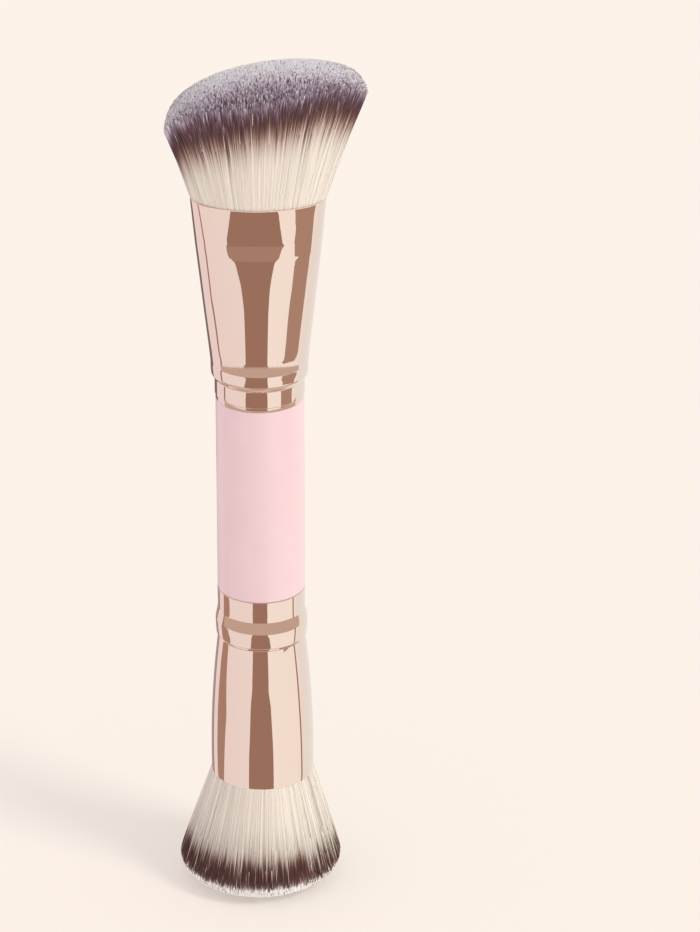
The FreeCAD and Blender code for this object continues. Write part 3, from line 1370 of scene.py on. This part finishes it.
@dataclass
class RoundTuft(Tuft):
    """Round tuft with a flat dome, which fans out below the lower ferrule down to the floor."""

    tips_up: float = -1.0
    stray_dye: float = 5.0
    # Many more pale strays on the right: painted rim light on the lower head's lit side.
    painted_light_strays: float = 3.0
    side_power: float = 0.5
    mouth_height: float = 24.9
    mouth_radius: float = 10.1
    head_radius: float = 16.8
    rest_radius: float = 8.5
    widest: float = 4.8
    bulge: float = 0.35
    tip_lean: float = -0.75
    rim_dye: float = 2.7
    rim_share: float = 0.97
    search_steps: int = 24
    layers: tuple[Layer, ...] = (
        Layer(
            name="lower_tuft_sides",
            count=8500,
            inner=0.94,
            depth=0.0,
            knots=(0.0, 0.6, 0.94),
            calm=0.8,
            clump=0.26,
            pull=0.65,
            ragged=0.12,
            short_share=0.25,
            short_reach=1.8,
            tip_width=0.4,
        ),
        Layer(
            name="lower_tuft_shoulder",
            count=14000,
            inner=0.74,
            depth=9.0,
            knots=(0.0, 0.97),
            calm=0.85,
            clump=0.3,
            pull=0.9,
            ragged=0.1,
            short_share=0.25,
            short_reach=1.2,
            tip_width=0.6,
        ),
        Layer(
            name="lower_tuft_dome",
            count=5000,
            inner=0.0,
            depth=4.0,
            knots=(0.0, 0.97),
            calm=0.7,
            clump=0.5,
            pull=0.5,
            ragged=0.05,
            thickness=0.1,
            tip_width=0.8,
        ),
    )

    def tip_axes(self) -> np.ndarray:
        """Half width and half depth of the tuft near its tips."""
        return np.array([self.head_radius, self.head_radius])

    def spread(self, height: np.ndarray) -> np.ndarray:
        """Radius of the outermost fibres at heights above the floor.

        Args:
            height: The heights.

        Returns:
            The radii.
        """
        share = np.maximum(self.mouth_height - height, 0) / (self.mouth_height - self.widest)
        bulge = self.bulge * np.clip(4 * share * (1 - share), 0, 1)
        return self.mouth_radius + (self.head_radius - self.mouth_radius) * share + bulge

    def length(self, place: Points) -> np.ndarray:
        """Depth of the tips below the mouth.

        Args:
            place: Places of the fibres in the unit disc.

        Returns:
            The depths.
        """
        share = np.hypot(place[:, 0], place[:, 1])
        low = np.zeros_like(share)
        high = np.full_like(share, self.widest)
        overhang = self.head_radius - self.rest_radius
        for _ in range(self.search_steps):
            middle = (low + high) / 2
            beyond = np.maximum(share * self.spread(middle) - self.rest_radius, 0) / overhang
            surface = self.widest * (1 - np.sqrt(np.clip(1 - beyond**2, 0, 1)))
            outside = middle < surface
            low = np.where(outside, middle, low)
            high = np.where(outside, high, middle)
        return self.mouth_height - high

    def dye_and_light_shift(self, place: Points) -> np.ndarray:
        """How far fibres were cut into their dyed tips, which only the outermost were."""
        share = np.hypot(place[:, 0], place[:, 1])
        return self.rim_dye * np.clip((share - self.rim_share) / (1 - self.rim_share), 0, 1)

    def fibre(self, place: Points, below: np.ndarray) -> Points:
        """Points on fibres, at distances from their tips.

        Args:
            place: Places of the fibres in the unit disc.
            below: Distances from the tips.

        Returns:
            The points, in millimetres.
        """
        height = self.mouth_height - self.length(place) + below
        level = place * self.spread(height)[:, None]
        level[:, 0] += self.tip_lean * np.clip(1 - height / self.mouth_height, 0, 1)
        return np.column_stack([level, height])

    def build(self) -> list[bpy.types.Object]:
        """Fill the tuft and grow its fibres.

        Returns:
            Its pieces.
        """
        core = self.core("lower_tuft_core")
        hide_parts("lower_fibres")
        rng = np.random.default_rng(self.seed)
        return [core, *(self.grow(layer, rng) for layer in self.layers)]


@dataclass
class Resin:
    """Cast discs of resin inside the ferrules."""

    finish: ResinFinish = field(default_factory=ResinFinish)
    nodes: tuple[str, ...] = ("lower_resin", "upper_resin")

    def dress(self) -> None:
        """Give both discs their finish."""
        material = self.finish.make()
        for name in self.nodes:
            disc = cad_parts[name]
            disc.data.materials.clear()
            disc.data.materials.append(material)


def studio_piece(
    name: str, points: Points, faces: list[list[int]], material: bpy.types.Material
) -> bpy.types.Object:
    """Make a mesh piece of the studio.

    Args:
        name: Name of the piece.
        points: Corners in millimetres.
        faces: Corner numbers of each face.
        material: Its material.

    Returns:
        The piece, which the part itself leaves out.
    """
    mesh = bpy.data.meshes.new(name)
    mesh.from_pydata((points * MM).tolist(), [], faces)
    mesh.materials.append(material)
    piece = bpy.data.objects.new(name, mesh)
    bpy.context.scene.collection.objects.link(piece)
    return piece


@dataclass(frozen=True)
class Card:
    """Card that hangs round the brush for its metal to mirror, seen in reflections alone.

    Each of its rows is a height, the azimuths of its left and right end, and for some a bow:
    how far it drops with the square of the azimuth from the middle of the brush's front.
    """

    name: str
    tone: Colour
    rows: tuple[tuple[float, ...], ...]
    reach: float = 100.0
    columns: int = 24

    def points(self) -> Points:
        """Corners of the card's rows, bent round the brush's axis.

        Returns:
            The corners, row by row.
        """
        bent = []
        for height, left, right, *bow in self.rows:
            azimuth = np.linspace(left, right, self.columns)
            turns = np.radians(azimuth)
            level = np.stack([np.sin(turns), -np.cos(turns)], axis=1) * self.reach
            bent.append(np.column_stack([level, height - sum(bow) * azimuth**2]))
        return np.concatenate(bent)

    def hang(self) -> None:
        """Hang the card where reflections alone see it."""
        faces = []
        for row in range(len(self.rows) - 1):
            for column in range(self.columns - 1):
                corner = row * self.columns + column
                above = corner + self.columns
                faces.append([corner, corner + 1, above + 1, above])
        material, graph = new_graph(self.name)
        graph.show(graph.emission(self.tone))
        card = studio_piece(self.name, self.points(), faces, material)
        for rays in ("camera", "diffuse", "transmission", "volume_scatter", "shadow"):
            setattr(card, f"visible_{rays}", False)


BROWN = (0.371, 0.233, 0.184, 1.0)
WARM_BROWN = (0.44, 0.298, 0.24, 1.0)
PALE_BROWN = (0.46, 0.315, 0.255, 1.0)
DARK_BROWN = (0.2, 0.165, 0.16, 1.0)
GREY_BROWN = (0.43, 0.36, 0.38, 1.0)
TAN = (0.61, 0.495, 0.43, 1.0)

CARDS = (
    Card(
        "upper_front_card",
        BROWN,
        (
            (50.0, -36.4, 18.8),
            (63.5, -36.2, 18.6),
            (67.0, -34.0, 17.8),
            (84.0, -29.5, 16.3),
            (94.0, -27.6, 16.3),
            (100.6, -28.8, 17.2, 0.003),
            (104.5, -30.6, 18.9, 0.0062),
            (109.8, -32.7, 21.0, 0.0098),
        ),
    ),
    Card(
        "upper_fold_card",
        WARM_BROWN,
        (
            (109.8, -32.7, 21.0, 0.0098),
            (117.0, -33.1, 23.2, 0.0135),
            (120.5, -34.6, 24.2, 0.0158),
            (125.0, -35.8, 24.6, 0.0175),
        ),
    ),
    Card(
        "upper_mouth_card",
        BROWN,
        (
            (125.0, -35.8, 24.6, 0.0175),
            (131.0, -32.0, 23.6, 0.008),
            (137.0, -30.3, 21.6),
            (155.0, -30.0, 20.2),
        ),
    ),
    Card(
        "upper_right_card",
        PALE_BROWN,
        (
            (3.2, 55.0, 88.5),
            (14.0, 55.0, 88.5),
            (22.0, 51.5, 92.5),
            (28.2, 50.4, 95.1),
            (29.9, 52.6, 95.2),
            (33.0, 54.8, 95.3),
            (36.5, 57.2, 96.2),
            (41.8, 57.8, 96.3),
            (42.8, 56.0, 96.3),
            (46.5, 47.4, 96.3),
            (49.9, 46.2, 95.5),
            (52.2, 44.7, 95.2),
            (61.6, 44.2, 93.7),
            (67.6, 43.9, 91.7),
            (79.8, 43.3, 86.7),
            (110.5, 39.6, 84.0),
            (121.3, 37.0, 84.0),
            (125.0, 37.3, 84.0),
            (127.4, 39.2, 84.0),
            (150.0, 39.4, 84.0),
        ),
        reach=200.0,
    ),
    Card(
        "upper_left_line_card",
        BROWN,
        ((50.0, -102.4, -97.2), (98.0, -101.8, -96.8), (155.0, -96.8, -91.4)),
    ),
    Card(
        "upper_outer_line_card",
        DARK_BROWN,
        ((50.0, -180.0, -141.0), (155.0, -180.0, -141.0)),
    ),
    Card(
        "lower_front_card",
        BROWN,
        (
            (-60.0, -32.2, 24.3),
            (-36.0, -31.4, 23.9),
            (-13.0, -29.2, 22.6),
            (-5.0, -27.3, 21.4),
            (3.0, -26.2, 19.6),
            (10.5, -25.2, 18.2),
            (13.5, -24.0, 16.2),
            (17.0, -22.4, 14.0),
            (24.8, -22.0, 14.2),
            (40.0, -21.6, 13.6),
        ),
    ),
    Card(
        "lower_left_card",
        WARM_BROWN,
        (
            (-50.0, -122.0, -101.0),
            (-35.0, -120.0, -98.3),
            (0.0, -118.0, -86.0),
            (15.0, -116.0, -90.5),
            (40.0, -107.0, -92.6),
        ),
    ),
    Card(
        "lower_right_line_card",
        BROWN,
        ((-50.0, 98.2, 102.6), (2.0, 88.4, 92.6), (40.0, 83.0, 87.2)),
    ),
    Card(
        "lower_outer_line_card",
        GREY_BROWN,
        ((-50.0, -180.0, -144.0), (40.0, -180.0, -144.0)),
    ),
    Card(
        "middle_card",
        TAN,
        ((37.0, -103.0, 103.0), (57.6, -103.0, 103.0, -0.0006)),
        reach=99.5,
    ),
    Card("back_card", BROWN, ((-60.0, 174.0, 204.0), (155.0, 174.0, 204.0))),
    Card("back_side_card", WARM_BROWN, ((-60.0, 216.0, 222.0), (155.0, 216.0, 222.0))),
)


WALLS = (
    (0.0, (0.91, 0.88, 0.90, 1.0)),
    (0.13, (0.93, 0.85, 0.90, 1.0)),
    (0.24, (0.95, 0.91, 0.955, 1.0)),
    (0.44, (0.965, 0.95, 0.97, 1.0)),
    (0.56, (1.05, 1.07, 1.06, 1.0)),
    (0.74, (1.04, 1.05, 1.04, 1.0)),
    (0.80, (0.93, 0.98, 0.99, 1.0)),
    (1.0, (0.91, 0.94, 0.95, 1.0)),
)


@dataclass
class Studio:
    """Pale floor, soft light from all sides and a broad lamp from the right."""

    backdrop: Colour = screen(253, 243, 234)
    floor_colour: Colour = screen(252, 242, 233)
    floor_radius: float = 4.0
    floor_middle: float = 0.02
    floor_facets: int = 96
    floor_rings: int = 24
    floor_fill: float = 0.4
    fleck_scale: float = 0.05
    fleck_share: float = 0.3
    sky: float = 0.77
    cool_tint: tuple[float, float, float] = (1.0, 0.95, 1.05)
    warm_tint: tuple[float, float, float] = (1.0, 1.02, 0.9)
    table_height: float = -0.80
    table_edge: float = 10.0
    lamp_strength: float = 1.11
    lamp_spread: float = 18.0
    lamp_elevation: float = 43.0
    lamp_azimuth: float = 56.0

    def lay_floor(self) -> None:
        """Lay the floor as a fine disc of rings.

        The camera sees it lit, with a fill of the backdrop's colour. The brush is lit by it as
        by an even surface of that colour.
        """
        count = self.floor_facets
        reach = np.geomspace(self.floor_middle, self.floor_radius, self.floor_rings) / MM
        rings = turned_rings([(radius, 0.0) for radius in reach], ring_directions(count))
        walls = [band((ring + 1) * count, ring * count, count) for ring in range(len(rings) - 1)]
        index = np.arange(count)
        fan = np.stack([np.full(count, len(rings) * count), index, (index + 1) % count], axis=1)
        points = np.concatenate([*rings, np.zeros((1, 3))])
        faces = [*np.concatenate(walls).tolist(), *fan.tolist()]
        material, graph = new_graph("floor_paper")
        fleck = graph.noise(graph.position(), self.fleck_scale, 3.0)
        paper = graph.mix(fleck * self.fleck_share, self.floor_colour, self.backdrop)
        lit = graph.node(
            "ShaderNodeBsdfPrincipled",
            None,
            Base_Color=paper,
            Roughness=1.0,
            Specular_IOR_Level=0.0,
        )
        seen = Signal(graph, graph.node("ShaderNodeLightPath").outputs["Is Camera Ray"])
        shader = graph.node(
            "ShaderNodeMixShader",
            None,
            in_0=1 - seen * (1 - self.floor_fill),
            in_1=Signal(graph, lit.outputs[0]),
            in_2=graph.emission(self.backdrop),
        )
        graph.show(Signal(graph, shader.outputs[0]))
        studio_piece("floor", points, faces, material).visible_glossy = False

    def hang_lamp(self) -> None:
        """Hang the broad lamp to the right of the camera."""
        lamp = bpy.data.lights.new("softbox", "SUN")
        lamp.energy = self.lamp_strength
        lamp.angle = math.radians(self.lamp_spread)
        holder = bpy.data.objects.new("softbox", lamp)
        azimuth, elevation = math.radians(self.lamp_azimuth), math.radians(self.lamp_elevation)
        towards = Vector(
            (
                math.sin(azimuth) * math.cos(elevation),
                -math.cos(azimuth) * math.cos(elevation),
                math.sin(elevation),
            )
        )
        holder.rotation_euler = towards.to_track_quat("Z", "Y").to_euler()
        holder.visible_glossy = False
        bpy.context.scene.collection.objects.link(holder)

    def paint_surroundings(self) -> None:
        """Surround the brush with pale walls, darker below, where the metal mirrors the table."""
        world = bpy.data.worlds.new("studio")
        bpy.context.scene.world = world
        world.use_nodes = True
        graph = Graph(world.node_tree)
        path = graph.node("ShaderNodeLightPath")
        place = graph.node("ShaderNodeTexCoord").outputs["Generated"]
        parts = graph.node("ShaderNodeSeparateXYZ", None, Vector=Signal(graph, place))
        east, north, up = (Signal(graph, parts.outputs[index]) for index in range(3))
        turn = graph.math("ARCTAN2", east, 0 - north) / (2 * math.pi) + 0.5
        walls = graph.ramp(turn, WALLS)
        lowered = (self.table_height - up) * self.table_edge
        table = graph.math("MINIMUM", graph.math("MAXIMUM", lowered, 0.0), 1.0)
        seen = graph.mix(table, walls, TAN)
        cool = (*(self.sky * share for share in self.cool_tint), 1.0)
        warm = (*(self.sky * share for share in self.warm_tint), 1.0)
        ambient = graph.mix(east * 0.5 + 0.5, cool, warm)
        glossy = graph.mix(Signal(graph, path.outputs["Is Glossy Ray"]), ambient, seen)
        colour = graph.mix(Signal(graph, path.outputs["Is Camera Ray"]), glossy, self.backdrop)
        shader = graph.node("ShaderNodeBackground", None, Color=colour, Strength=1.0)
        graph.show(Signal(graph, shader.outputs[0]), "ShaderNodeOutputWorld")

    def build(self) -> None:
        """Set up the whole studio."""
        self.lay_floor()
        self.hang_lamp()
        self.paint_surroundings()
        for card in CARDS:
            card.hang()
        bpy.context.scene.view_settings.view_transform = "Standard"


@dataclass
class Viewpoint:
    """Camera that looks down at the brush from the front."""

    distance: float = 1.1
    elevation: float = 25.5
    aim_height: float = 0.0921
    focal_pixels: float = 5395.0
    picture_height: int = 932
    right_pixels: float = 89.5
    up_pixels: float = 9.0
    sensor: float = 36.0
    sight: float = 50.0

    def build(self) -> None:
        """Place the camera and aim it, so that the brush stands left of the middle."""
        tilt = math.radians(self.elevation)
        place = Vector(
            (0, -self.distance * math.cos(tilt), self.aim_height + self.distance * math.sin(tilt))
        )
        step = self.distance / self.focal_pixels
        aim = (
            Vector((0, 0, self.aim_height))
            + Vector((1, 0, 0)) * self.right_pixels * step
            + Vector((0, math.sin(tilt), math.cos(tilt))) * self.up_pixels * step
        )
        data = bpy.data.cameras.new("camera")
        data.sensor_width = self.sensor
        data.lens = self.focal_pixels / self.picture_height * self.sensor
        data.clip_end = self.sight
        camera = bpy.data.objects.new("camera", data)
        camera.location = place
        camera.rotation_euler = (aim - place).to_track_quat("-Z", "Y").to_euler()
        bpy.context.scene.collection.objects.link(camera)
        bpy.context.scene.camera = camera


def report(piece: bpy.types.Object) -> None:
    """Tell a piece's name and size."""
    log.info("%s: %d faces", piece.name, len(piece.data.polygons))


def main() -> None:
    """Build the brush and its studio."""
    logging.basicConfig(level=logging.INFO, format="%(name)s: %(message)s")
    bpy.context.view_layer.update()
    Viewpoint().build()
    Studio().build()
    metal = MetalFinish().make()
    pieces = [
        Handle(LacquerFinish()).build(),
        LowerFerrule(metal).build(),
        UpperFerrule(metal).build(),
        *SlantedTuft(FibreFinish("slanted_tuft_fibre", SLANTED_DYES).make(), seed=11).build(),
        # The round tuft's pale tips get a painted glow that brightens them where the head shades
        # them.
        *RoundTuft(FibreFinish("round_tuft_fibre", ROUND_DYES, painted_glow=0.24).make(), seed=23).build(),
    ]
    Resin().dress()
    for piece in pieces:
        report(piece)
    bpy.context.view_layer.update()


if __name__ == "__main__":
    main()
